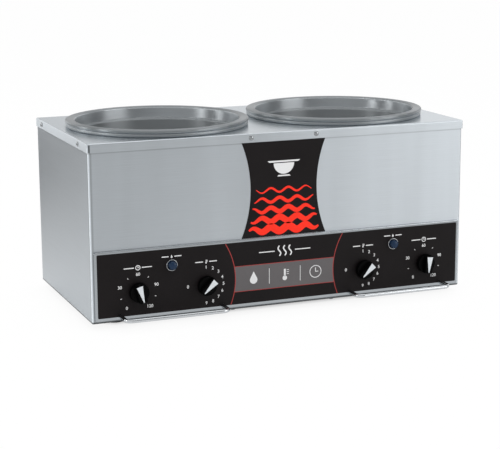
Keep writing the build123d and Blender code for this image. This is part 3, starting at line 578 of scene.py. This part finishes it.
def turned(mesh, section, closed=False):
    """Adds a section of (radius, height) points turned about Z, with its ends on the axis or joined."""
    rings = []
    for radius, height in section:
        count = ROUND if radius > 0 else 1
        ring = []
        for step in range(count):
            angle = 2 * pi * step / ROUND
            spot = Vector((radius * MM * cos(angle), radius * MM * sin(angle), height * MM))
            ring.append(mesh.verts.new(spot))
        rings.append(ring)
    uppers = rings[1:] + rings[:1] if closed else rings[1:]
    for lower, upper in zip(rings, uppers):
        for step in range(ROUND):
            after = (step + 1) % ROUND
            corners = [lower[step % len(lower)], lower[after % len(lower)]]
            corners += [upper[after % len(upper)], upper[step % len(upper)]]
            mesh.faces.new(list(dict.fromkeys(corners)))


def lofted(mesh, outlines):
    """Adds a solid through outlines of equal count, each with its height."""
    rings = [[mesh.verts.new((x * MM, y * MM, z * MM)) for x, y in points] for points, z in outlines]
    for lower, upper in zip(rings, rings[1:]):
        for step in range(len(lower)):
            after = (step + 1) % len(lower)
            mesh.faces.new((lower[step], lower[after], upper[after], upper[step]))
    mesh.faces.new(rings[0])
    mesh.faces.new(rings[-1])


def arc(centre, radius, start, end, steps=8):
    """Points on a circle from one angle to another, in degrees."""
    angles = [radians(start + (end - start) * step / steps) for step in range(steps + 1)]
    return [(centre[0] + radius * cos(angle), centre[1] + radius * sin(angle)) for angle in angles]


def dome(radius, height):
    """Points of a quarter of an ellipse, from its side to just short of its top."""
    return [(x * radius, y * height) for x, y in arc((0, 0), 1, start=0, end=84, steps=14)]


def rounded_box(width, length, corner):
    """Outline of a rectangle with rounded corners."""
    x, y = width / 2 - corner, length / 2 - corner
    corners = (((x, y), 0), ((-x, y), 90), ((-x, -y), 180), ((x, -y), 270))
    return [point for centre, start in corners for point in arc(centre, corner, start, start + 90)]


def through(first, middle, last, steps):
    """Points on the circle through three points."""
    (ax, ay), (bx, by), (cx, cy) = first, middle, last
    size = 2 * (ax * (by - cy) + bx * (cy - ay) + cx * (ay - by))
    a, b, c = ax * ax + ay * ay, bx * bx + by * by, cx * cx + cy * cy
    x = (a * (by - cy) + b * (cy - ay) + c * (ay - by)) / size
    y = (a * (cx - bx) + b * (ax - cx) + c * (bx - ax)) / size
    start = atan2(ay - y, ax - x)
    turn = (atan2(cy - y, cx - x) - start + pi) % (2 * pi) - pi
    radius = ((ax - x) ** 2 + (ay - y) ** 2) ** 0.5
    return arc((x, y), radius, degrees(start), degrees(start + turn), steps)


def printed(mesh, outline, face, rise=print_rise):
    """Adds a thin raised print with an outline of (across, up) points on a face."""
    front = [mesh.verts.new((x * MM, face - rise * MM, z * MM)) for x, z in outline]
    back = [mesh.verts.new((x * MM, face, z * MM)) for x, z in outline]
    mesh.faces.new(front)
    mesh.faces.new(back)
    for step in range(len(outline)):
        after = (step + 1) % len(outline)
        mesh.faces.new((front[step], front[after], back[after], back[step]))


def stroke(mesh, points, widths, face):
    """Adds a printed line through points, with its width at each point."""
    left, right = [], []
    for index, (x, z) in enumerate(points):
        before = Vector(points[max(index - 1, 0)])
        after = Vector(points[min(index + 1, len(points) - 1)])
        along = (after - before).normalized()
        half = widths[index] / 2
        left.append((x - along.y * half, z + along.x * half))
        right.append((x + along.y * half, z - along.x * half))
    printed(mesh, left + right[::-1], face)


def line(mesh, points, width, face):
    """Adds a printed line of one width."""
    stroke(mesh, points, [width] * len(points), face)


def figures(mesh, words, centre, height, face):
    """Adds printed figures, upright and centred."""
    curve = bpy.data.curves.new("figures", "FONT")
    curve.body = words
    curve.offset = digit_weight
    curve.extrude = print_rise
    holder = bpy.data.objects.new("figures", curve)
    data = bpy.data.meshes.new_from_object(holder)
    low = Vector(min(vertex.co[axis] for vertex in data.vertices) for axis in range(2))
    high = Vector(max(vertex.co[axis] for vertex in data.vertices) for axis in range(2))
    scale = height / (high.y - low.y)
    middle = (low + high) / 2
    figure = bmesh.new()
    figure.from_mesh(data)
    bmesh.ops.remove_doubles(figure, verts=figure.verts, dist=join_distance)
    spots = {}
    for vertex in figure.verts:
        x = centre[0] + (vertex.co.x - middle.x) * scale
        z = centre[1] + (vertex.co.y - middle.y) * scale
        rise = print_rise if vertex.co.z > 0 else 0.0
        spots[vertex] = mesh.verts.new((x * MM, face - rise * MM, z * MM))
    for part in figure.faces:
        mesh.faces.new([spots[vertex] for vertex in part.verts])
    figure.free()
    bpy.data.objects.remove(holder)
    bpy.data.curves.remove(curve)
    bpy.data.meshes.remove(data)


def middle_of(name):
    """Middle of a CAD node's box, in millimetres."""
    low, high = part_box(name)
    return (low + high) / 2 / MM


def scratch_object(name, mesh):
    """An object that is only used while the script runs."""
    data = bpy.data.meshes.new(name)
    mesh.to_mesh(data)
    mesh.free()
    made = bpy.data.objects.new(name, data)
    bpy.context.scene.collection.objects.link(made)
    return made


# Finishes
finishes = {name: speckled(name, *values) for name, values in stuffs.items()}
finishes["base_steel"] = spangled("base_steel", zinc, roughness=0.42)
finishes["body_steel"] = brushed_steel(
    "wrap_steel", steel, grain=(14.0, 14.0, 1500.0), roughness=0.40, stretch=0.8,
    across=(0.0, 0.05, 1.0))
finishes["panel_steel"] = brushed_steel(
    "panel_steel", lip_grey, grain=(14.0, 1500.0, 1500.0), roughness=0.13, stretch=0.3,
    across=(0.0, 0.05, 1.0))
deck_steel = brushed_steel(
    "deck_steel", steel, grain=(14.0, 1500.0, 1500.0), roughness=0.32, stretch=0.6,
    across=(0.0, 1.0, 0.05), spring=0.23)
wrap_low, wrap_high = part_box("outer_wrap")
worn_folds(finishes["body_steel"], (-wrap_low.x, -wrap_low.y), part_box("top_deck")[0].z)
dull_hem(finishes["body_steel"], wrap_low.z, wrap_hem_shade)
dull_hem(finishes["panel_steel"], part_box("control_panel")[0].z, panel_hem_shade)
smooth_top(deck_steel, deck_sheen, deck_top_shade)

own_finishes = {"top_deck": deck_steel}
for side in sides:
    spot = middle_of(f"{side}_inset") * MM
    axis = (spot.x, spot.y, 0.0)
    own_finishes[f"{side}_inset"] = spun_steel(
        f"{side}_inset_steel", pan_zones, pan_rim_painted_light_and_shade, pan_collar, pan_stretch, axis)
    own_finishes[f"{side}_well"] = spun_steel(
        f"{side}_well_steel", well_zones, bead_rim_painted_light, well_collar, well_stretch, axis)
for row in frame["record"]["subparts"]:
    slots = frame["nodes"][row["node"]].data.materials
    slots.clear()
    slots.append(own_finishes.get(row["node"]) or finishes[row["material_slot"]])

# Printing on the control panel
panel_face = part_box("panel_overlay")[0].y
white_print = bmesh.new()
red_print = bmesh.new()
grey_print = bmesh.new()


def on_dial(centre, angle, radius):
    """A point at an angle clockwise from upright on a dial."""
    turn = radians(angle)
    return centre[0] + radius * sin(turn), centre[1] + radius * cos(turn)


def scale_centre(dial):
    """Middle of a dial's printed scale, which isn't quite on the knob's axis."""
    spot = middle_of(f"{dial}_shaft")
    across, up = scale_shift[dial]
    return spot.x + across, spot.z + up


def clock(centre, size):
    """A round clock face with two hands."""
    x, z = centre
    upright, level = (size * share for share in clock_hands)
    line(white_print, arc(centre, size, 90, 450, steps=36), clock_line, panel_face)
    line(white_print, [(x, z + upright), (x, z)], clock_line, panel_face)
    line(white_print, [(x - clock_line / 2, z), (x + level, z)], clock_line, panel_face)


def thermometer(centre, size):
    """A bulb and stem."""
    x, z = centre
    bulb = arc((x, z - size * bulb_drop), size * bulb_radius, 0, 360, steps=24)[:-1]
    printed(white_print, bulb, panel_face)
    line(white_print, [(x, z - size * stem_drop), (x, z + size)], size * stem_width, panel_face)
    for share in stem_ticks:
        height = z + size * share
        ends = [(x + size * end, height) for end in stem_tick_ends]
        line(white_print, ends, thermometer_tick, panel_face)


def drop(centre, size):
    """A drop of water."""
    x, z = centre
    round_part = arc((x, z - size * drop_drop), size * drop_radius, *drop_arc, steps=24)
    printed(white_print, [(x, z + size)] + round_part, panel_face)


def side_rules(centre, gap, length):
    """Two short rules, one on each side of a place."""
    for way in (-1, 1):
        ends = [(centre[0] + way * gap, centre[1]), (centre[0] + way * (gap + length), centre[1])]
        line(white_print, ends, label_rule, panel_face)


def label(centre, symbol, sizes):
    """A symbol between two rules, above a dial or lamp."""
    rise, size, gap, length = sizes
    spot = (centre[0], centre[1] + rise)
    symbol(spot, size)
    side_rules(spot, gap, length)


for side in sides:
    timer = scale_centre(f"{side}_timer")
    for minutes in timer_minutes:
        angle = timer_sweep * (minutes / timer_minutes[-1] - 0.5)
        radius = timer_side_radius if minutes in timer_sides else timer_radius
        figures(white_print, str(minutes), on_dial(timer, angle, radius), digit_height, panel_face)
    for first, last in zip(timer_minutes, timer_minutes[1:]):
        angle = timer_sweep * ((first + last) / 2 / timer_minutes[-1] - 0.5)
        inner = on_dial(timer, angle, tick_radius - tick_length / 2)
        outer = on_dial(timer, angle, tick_radius + tick_length / 2)
        line(white_print, [inner, outer], tick_width, panel_face)
    label(timer, clock, timer_label)
    heat = scale_centre(f"{side}_temp")
    figures(white_print, "0", on_dial(heat, heat_zero, heat_zero_radius), digit_height, panel_face)
    for value in range(1, heat_last + 1):
        angle = heat_step * (value - 1)
        figures(white_print, str(value), on_dial(heat, angle, heat_radius), digit_height, panel_face)
    label(heat, thermometer, heat_label)
    spot = middle_of(f"{side}_lamp_bezel")
    label((spot.x, spot.z), drop, lamp_label)

# Red lines and the grey band in the middle of the panel
swoosh = through(swoosh_top, swoosh_waist, swoosh_foot, steps=40)
for way in (-1, 1):
    line(red_print, [(way * x, z) for x, z in swoosh], red_line, panel_face)
edge = [(x - red_line / 2, z) for x, z in swoosh if band_low <= z <= band_high]
printed(grey_print, edge + [(-x, z) for x, z in edge[::-1]], panel_face, print_rise / 2)
for end in (edge[0], edge[-1]):
    line(red_print, [(-end[0], end[1]), end], band_edge, panel_face)

# Symbols on the grey band: water, heat and time, with rules between
band_middle = (band_low + band_high) / 2
for step, symbol, size in zip((-1, 0, 1), (drop, thermometer, clock), band_sizes):
    symbol((step * band_pitch, band_middle), size)
for across in (-band_pitch / 2, band_pitch / 2):
    ends = [(across, band_low + band_rule_end), (across, band_high - band_rule_end)]
    line(white_print, ends, band_rule, panel_face)

# Three waves of heat above the band
for across in (-steam_pitch, 0.0, steam_pitch):
    wave = []
    for step in range(steam_steps + 1):
        share = step / steam_steps
        wave.append((across + steam_swing * sin(2 * pi * share), steam_foot + steam_height * share))
    line(white_print, wave, steam_weight, panel_face)
side_rules(*steam_rules)

add_piece("panel_figures", white_print, finishes["ink_white"], "housing")
add_piece("panel_red_lines", red_print, finishes["ink_line"], "housing")
add_piece("panel_grey_band", grey_print, finishes["ink_grey"], "housing")

# Waves of heat under a bowl, on the decal
decal_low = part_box("front_decal")[0]
decal_face = decal_low.y
decal_foot = decal_low.z / MM
heat_print = bmesh.new()
bowl_print = bmesh.new()
for row, weight in enumerate(wave_weights):
    level = decal_foot + wave_first + wave_pitch * row
    half = wave_reach - wave_step_in * row
    points, widths = [], []
    for step in range(wave_steps + 1):
        across = half * (2 * step / wave_steps - 1)
        points.append((across, level + wave_swing * sin(2 * pi * across / wave_length + pi * row)))
        widths.append(weight * (1 - wave_thinning * abs(across / half) ** 3))
    stroke(heat_print, points, widths, decal_face)
bowl_top = decal_foot + bowl_rise
printed(bowl_print, arc((0, bowl_top - bowl_drop), bowl_radius, 180, 360, steps=32), decal_face)
for top_half, foot_half, top_depth, foot_depth in (brim, bowl_foot):
    top, foot = bowl_top - top_depth, bowl_top - foot_depth
    outline = [(-top_half, top), (top_half, top), (foot_half, foot), (-foot_half, foot)]
    printed(bowl_print, outline, decal_face)
add_piece("decal_heat", heat_print, finishes["ink_red"], "housing")
add_piece("decal_bowl", bowl_print, finishes["ink_white"], "housing")


# Knobs with finger scoops, and their inlays

def knob_matrix(name, angle):
    """Places a knob's own axes: X across the bar, Y along the pointer and Z out of the panel."""
    spot = middle_of(f"{name}_shaft") * MM
    turn = radians(angle)
    axes = Matrix(((cos(turn), sin(turn), 0), (0, 0, -1), (-sin(turn), cos(turn), 0)))
    back = Vector((spot.x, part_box(f"{name}_knob")[1].y, spot.z))
    return Matrix.Translation(back) @ axes.to_4x4()


def bar_outline(scale):
    """Outline of the bar grip, waisted by the scoops."""
    points = []
    for x, y in rounded_box(bar_width * scale, bar_length * scale, bar_corner):
        waist = 1 - bar_scoop * cos(pi * y / (bar_length * scale)) ** 2
        points.append((x * waist, y))
    return points


for name, angle in rest_angles.items():
    matrix = knob_matrix(name, angle)
    body = f"{name}_dial"
    knob = bmesh.new()
    skirt = [(0, knob_recess), (knob_recess_radius, knob_recess), (knob_recess_radius, 0)]
    skirt += [(knob_radius - knob_bevel, 0), (knob_radius, knob_bevel), (knob_radius, knob_band)]
    shoulder = (knob_neck_radius - knob_shoulder, knob_skirt - knob_shoulder)
    skirt += arc(shoulder, knob_shoulder, start=8, end=90, steps=6)
    skirt += [(0, knob_skirt + knob_crown)]
    turned(knob, skirt)
    levels = [(bar_outline(1.0), knob_skirt - bar_sink)]
    levels += [(bar_outline(scale), knob_height - depth) for scale, depth in bar_top]
    lofted(knob, levels)
    piece = add_piece(
        f"{name}_grip", knob, finishes["knob_black"], body, knob_sharp, matrix)
    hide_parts(f"{name}_knob")
    inlay = bmesh.new()
    wide, narrow, half = inlay_wide / 2, inlay_narrow / 2, inlay_length / 2
    wedge = [(-narrow, -half), (narrow, -half), (wide, half), (-wide, half)]
    lofted(inlay, [(wedge, knob_height - inlay_sink), (wedge, knob_height + inlay_rise)])
    piece = add_piece(
        f"{name}_inlay", inlay, finishes["pointer_white"], body, plain_sharp, matrix)
    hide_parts(f"{name}_pointer")

# Lamps: a domed lens in a bevelled ring
for side in sides:
    spot = middle_of(f"{side}_lamp_bezel") * MM
    out = Matrix.Translation((spot.x, panel_face, spot.z)) @ Matrix.Rotation(radians(90), 4, "X")
    lens = bmesh.new()
    tail_radius = lens_radius - lens_shoulder
    section = [(0, -lens_tail), (tail_radius, -lens_tail), (tail_radius, 0), (lens_radius, 0)]
    section += [(x, lens_side + y) for x, y in dome(lens_radius, lens_height - lens_side)]
    section += [(0, lens_height)]
    turned(lens, section)
    piece = add_piece(
        f"{side}_lens", lens, finishes["lens_blue"], "housing", turned_sharp, out)
    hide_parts(f"{side}_lamp_lens")
    bezel = bmesh.new()
    bezel_inner = lens_radius + bezel_gap
    section = [(bezel_inner, 0), (bezel_radius, 0)]
    crest = (bezel_radius - bezel_round, bezel_height - bezel_round)
    section += arc(crest, bezel_round, start=0, end=120, steps=6)
    section += [(bezel_inner, bezel_inner_height)]
    turned(bezel, section, closed=True)
    piece = add_piece(
        f"{side}_bezel", bezel, finishes["ring_steel"], "housing", turned_sharp, out)
    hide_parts(f"{side}_lamp_bezel")

# Weld that closes the slit at the right front corner of the deck's flange
deck_low, deck_high = (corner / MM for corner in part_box("top_deck"))
weld_right = deck_high.x - weld_end
weld_front = deck_low.y + weld_sink
outline = [(weld_right, weld_front), (weld_right, weld_front + weld_depth)]
outline += [(x - weld_width, y) for x, y in outline[::-1]]
weld = bmesh.new()
lofted(weld, [(outline, deck_low.z), (outline, deck_low.z + weld_height)])
add_piece("corner_weld", weld, deck_steel, "housing")

# Screw heads with a cross recess
cross = bmesh.new()
for turn in (0, 90):
    arm = rounded_box(cross_length, cross_width, cross_corner)
    spun = [(x * cos(radians(turn)) - y * sin(radians(turn)),
             x * sin(radians(turn)) + y * cos(radians(turn))) for x, y in arm]
    deep = [(x * cross_taper, y * cross_taper) for x, y in spun]
    lofted(cross, [(deep, head_height - cross_depth), (spun, head_height + cross_over)])
bmesh.ops.recalc_face_normals(cross, faces=cross.faces)
head = bmesh.new()
section = [(0, -shank_length), (shank_radius, -shank_length), (shank_radius, 0), (head_radius, 0)]
section += dome(head_radius, head_height)[1:] + [(0, head_height)]
turned(head, section)
bmesh.ops.recalc_face_normals(head, faces=head.faces)
head_object = scratch_object("screw_head", head)
cross_object = scratch_object("screw_cross", cross)
cut = head_object.modifiers.new("cross", "BOOLEAN")
cut.operation = "DIFFERENCE"
cut.object = cross_object
cut.use_self = True
bpy.context.view_layer.update()
graph = bpy.context.evaluated_depsgraph_get()
screw_mesh = bpy.data.meshes.new_from_object(head_object.evaluated_get(graph))
bpy.data.objects.remove(head_object)
bpy.data.objects.remove(cross_object)

# Where the heads sit, and which way they face
seats = {"deck_screws": [], "back_screws": [], "base_screws": [], "foot_screws": []}
for x in (-deck_screw_x, deck_screw_x):
    seats["deck_screws"].append(((x, deck_low.y, deck_screw_z), (0, -1, 0)))
    seats["deck_screws"].append(((x, deck_high.y, deck_screw_z), (0, 1, 0)))
for y in (deck_low.y + deck_screw_front, deck_high.y - deck_screw_back):
    seats["deck_screws"].append(((deck_low.x, y, deck_screw_z), (-1, 0, 0)))
    seats["deck_screws"].append(((deck_high.x, y, deck_screw_z), (1, 0, 0)))
back_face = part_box("back_panel")[1].y / MM
back_low, back_high = (corner.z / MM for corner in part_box("back_screws"))
for z in (back_low + solid_head_radius, (back_low + back_high) / 2, back_high - solid_head_radius):
    for x in (-back_screw_x, back_screw_x):
        seats["back_screws"].append(((x, back_face, z), (0, 1, 0)))
base_face = wrap_low.z / MM
for x in (-base_screw_x, base_screw_x):
    seats["base_screws"].append(((x, base_screw_y, base_face), (0, 0, -1)))
for y in (deck_low.y + base_side_screw_end, deck_high.y - base_side_screw_end):
    for x in (-base_side_screw_x, base_side_screw_x):
        seats["base_screws"].append(((x, y, base_face), (0, 0, -1)))
foot_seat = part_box("foot_screws")[0].z / MM + head_height
for foot in ("front_left_foot", "front_right_foot", "back_left_foot", "back_right_foot"):
    spot = middle_of(foot)
    seats["foot_screws"].append(((spot.x, spot.y, foot_seat), (0, 0, -1)))
for name, places in seats.items():
    screws = bmesh.new()
    for index, (spot, way) in enumerate(places):
        turn = Vector(way).to_track_quat("Z", "Y").to_matrix().to_4x4()
        spin = Matrix.Rotation(radians(head_turn + head_turn_step * index), 4, "Z")
        one = screw_mesh.copy()
        one.transform(Matrix.Translation(Vector(spot) * MM) @ turn @ spin)
        screws.from_mesh(one)
        bpy.data.meshes.remove(one)
    piece = add_piece(
        f"{name}_crossed", screws, finishes["screw_steel"], "housing", turned_sharp)
    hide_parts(name)
bpy.data.meshes.remove(screw_mesh)

# Camera
azimuth, elevation, roll = (radians(a) for a in (camera_azimuth, camera_elevation, camera_roll))
back = Vector((sin(azimuth) * cos(elevation), -cos(azimuth) * cos(elevation), sin(elevation)))
right = Vector((cos(azimuth), sin(azimuth), 0))
up = back.cross(right)
rolled_right = right * cos(roll) + up * sin(roll)
rolled_up = up * cos(roll) - right * sin(roll)
camera = bpy.data.objects.new("camera", bpy.data.cameras.new("camera"))
camera.data.lens = camera_lens
camera.data.sensor_width = camera_sensor
camera.data.clip_end = camera_reach
axes = Matrix((rolled_right, rolled_up, back)).transposed()
camera.matrix_world = Matrix.Translation(camera_place) @ axes.to_4x4()
bpy.context.scene.collection.objects.link(camera)
bpy.context.scene.camera = camera

# White floor that keeps the object's shadow near it
floor_mesh = bmesh.new()
bmesh.ops.create_grid(floor_mesh, x_segments=1, y_segments=1, size=floor_half)
floor_data = bpy.data.meshes.new("floor")
floor_mesh.to_mesh(floor_data)
floor_mesh.free()
floor = bpy.data.objects.new("floor", floor_data)
bpy.context.scene.collection.objects.link(floor)
paper = bpy.data.materials.new("paper")
paper.use_nodes = True
tree = paper.node_tree
tree.nodes.remove(tree.nodes["Principled BSDF"])
rays = node(tree, "LightPath").outputs
mirrored = number(tree, "MAXIMUM", rays["Is Glossy Ray"], rays["Is Transmission Ray"])
middle, half = (wrap_low + wrap_high) / 2, (wrap_high - wrap_low) / 2
offset = vector(tree, "SUBTRACT", own_spot(tree), (middle.x, middle.y, 0.0))
offset = vector(tree, "ABSOLUTE", offset)
offset = vector(tree, "SUBTRACT", offset, (half.x - shadow_inset, half.y - shadow_inset, 0.0))
offset = vector(tree, "MAXIMUM", offset)
away = measure(tree, "LENGTH", offset)
plain = number(tree, "MULTIPLY", stepped(tree, away, shadow_stops), rays["Is Camera Ray"])
share = number(tree, "MULTIPLY", mirrored, stepped(tree, away, mirror_stops))
share = number(tree, "MAXIMUM", plain, share)
dimmed = stepped(tree, away, ((mirror_start, floor_near), (mirror_reach, floor_far)))
level = number(tree, "MAXIMUM", dimmed, rays["Is Camera Ray"])
lit = node(tree, "BsdfDiffuse", {"Color": (paper_grey, paper_grey, paper_grey, 1.0)}).outputs[0]
white = node(tree, "Emission", {"Color": (1.0, 1.0, 1.0, 1.0), "Strength": level}).outputs[0]
mixed = node(tree, "MixShader", {0: share, 1: lit, 2: white}).outputs[0]
tree.links.new(mixed, tree.nodes["Material Output"].inputs["Surface"])
floor_data.materials.append(paper)

# Studio light: a room that is pale behind and dim in front, soft lamps and one dark card
world = bpy.data.worlds.new("room")
world.use_nodes = True
bpy.context.scene.world = world
tree = world.node_tree
way = node(tree, "TexCoord").outputs["Generated"]
facing = measure(tree, "DOT_PRODUCT", way, tuple(Vector(room_way).normalized()))
level = stepped(tree, facing, room_stops)
level = number(tree, "MAXIMUM", level, node(tree, "LightPath").outputs["Is Camera Ray"])
tree.links.new(level, tree.nodes["Background"].inputs["Strength"])
tree.nodes["Background"].inputs["Color"].default_value = (*room_tint, 1.0)


def lamp(name, spot, width, height, power):
    """A soft lamp aimed at the object."""
    data = bpy.data.lights.new(name, "AREA")
    data.shape = "RECTANGLE"
    data.size = width
    data.size_y = height
    data.energy = power
    made = bpy.data.objects.new(name, data)
    made.location = spot
    towards = Vector(lamp_aim) - Vector(spot)
    made.rotation_euler = towards.to_track_quat("-Z", "Y").to_euler()
    bpy.context.scene.collection.objects.link(made)
    return made


for name, values in lamps.items():
    made = lamp(name, *values)
    made.visible_glossy = name not in unmirrored

card_mesh = bmesh.new()
outline = ((card_left, 0.0), (card_right, 0.0), (card_right, card_top), (card_left, card_top))
card_mesh.faces.new([card_mesh.verts.new((x, card_y, z)) for x, z in outline])
card_data = bpy.data.meshes.new("card")
card_mesh.to_mesh(card_data)
card_mesh.free()
card = bpy.data.objects.new("card", card_data)
bpy.context.scene.collection.objects.link(card)
card.visible_camera = False
card.visible_shadow = False
card.visible_diffuse = False
card_data.materials.append(finishes["card_dark"])

bpy.context.scene.view_settings.view_transform = "Standard"
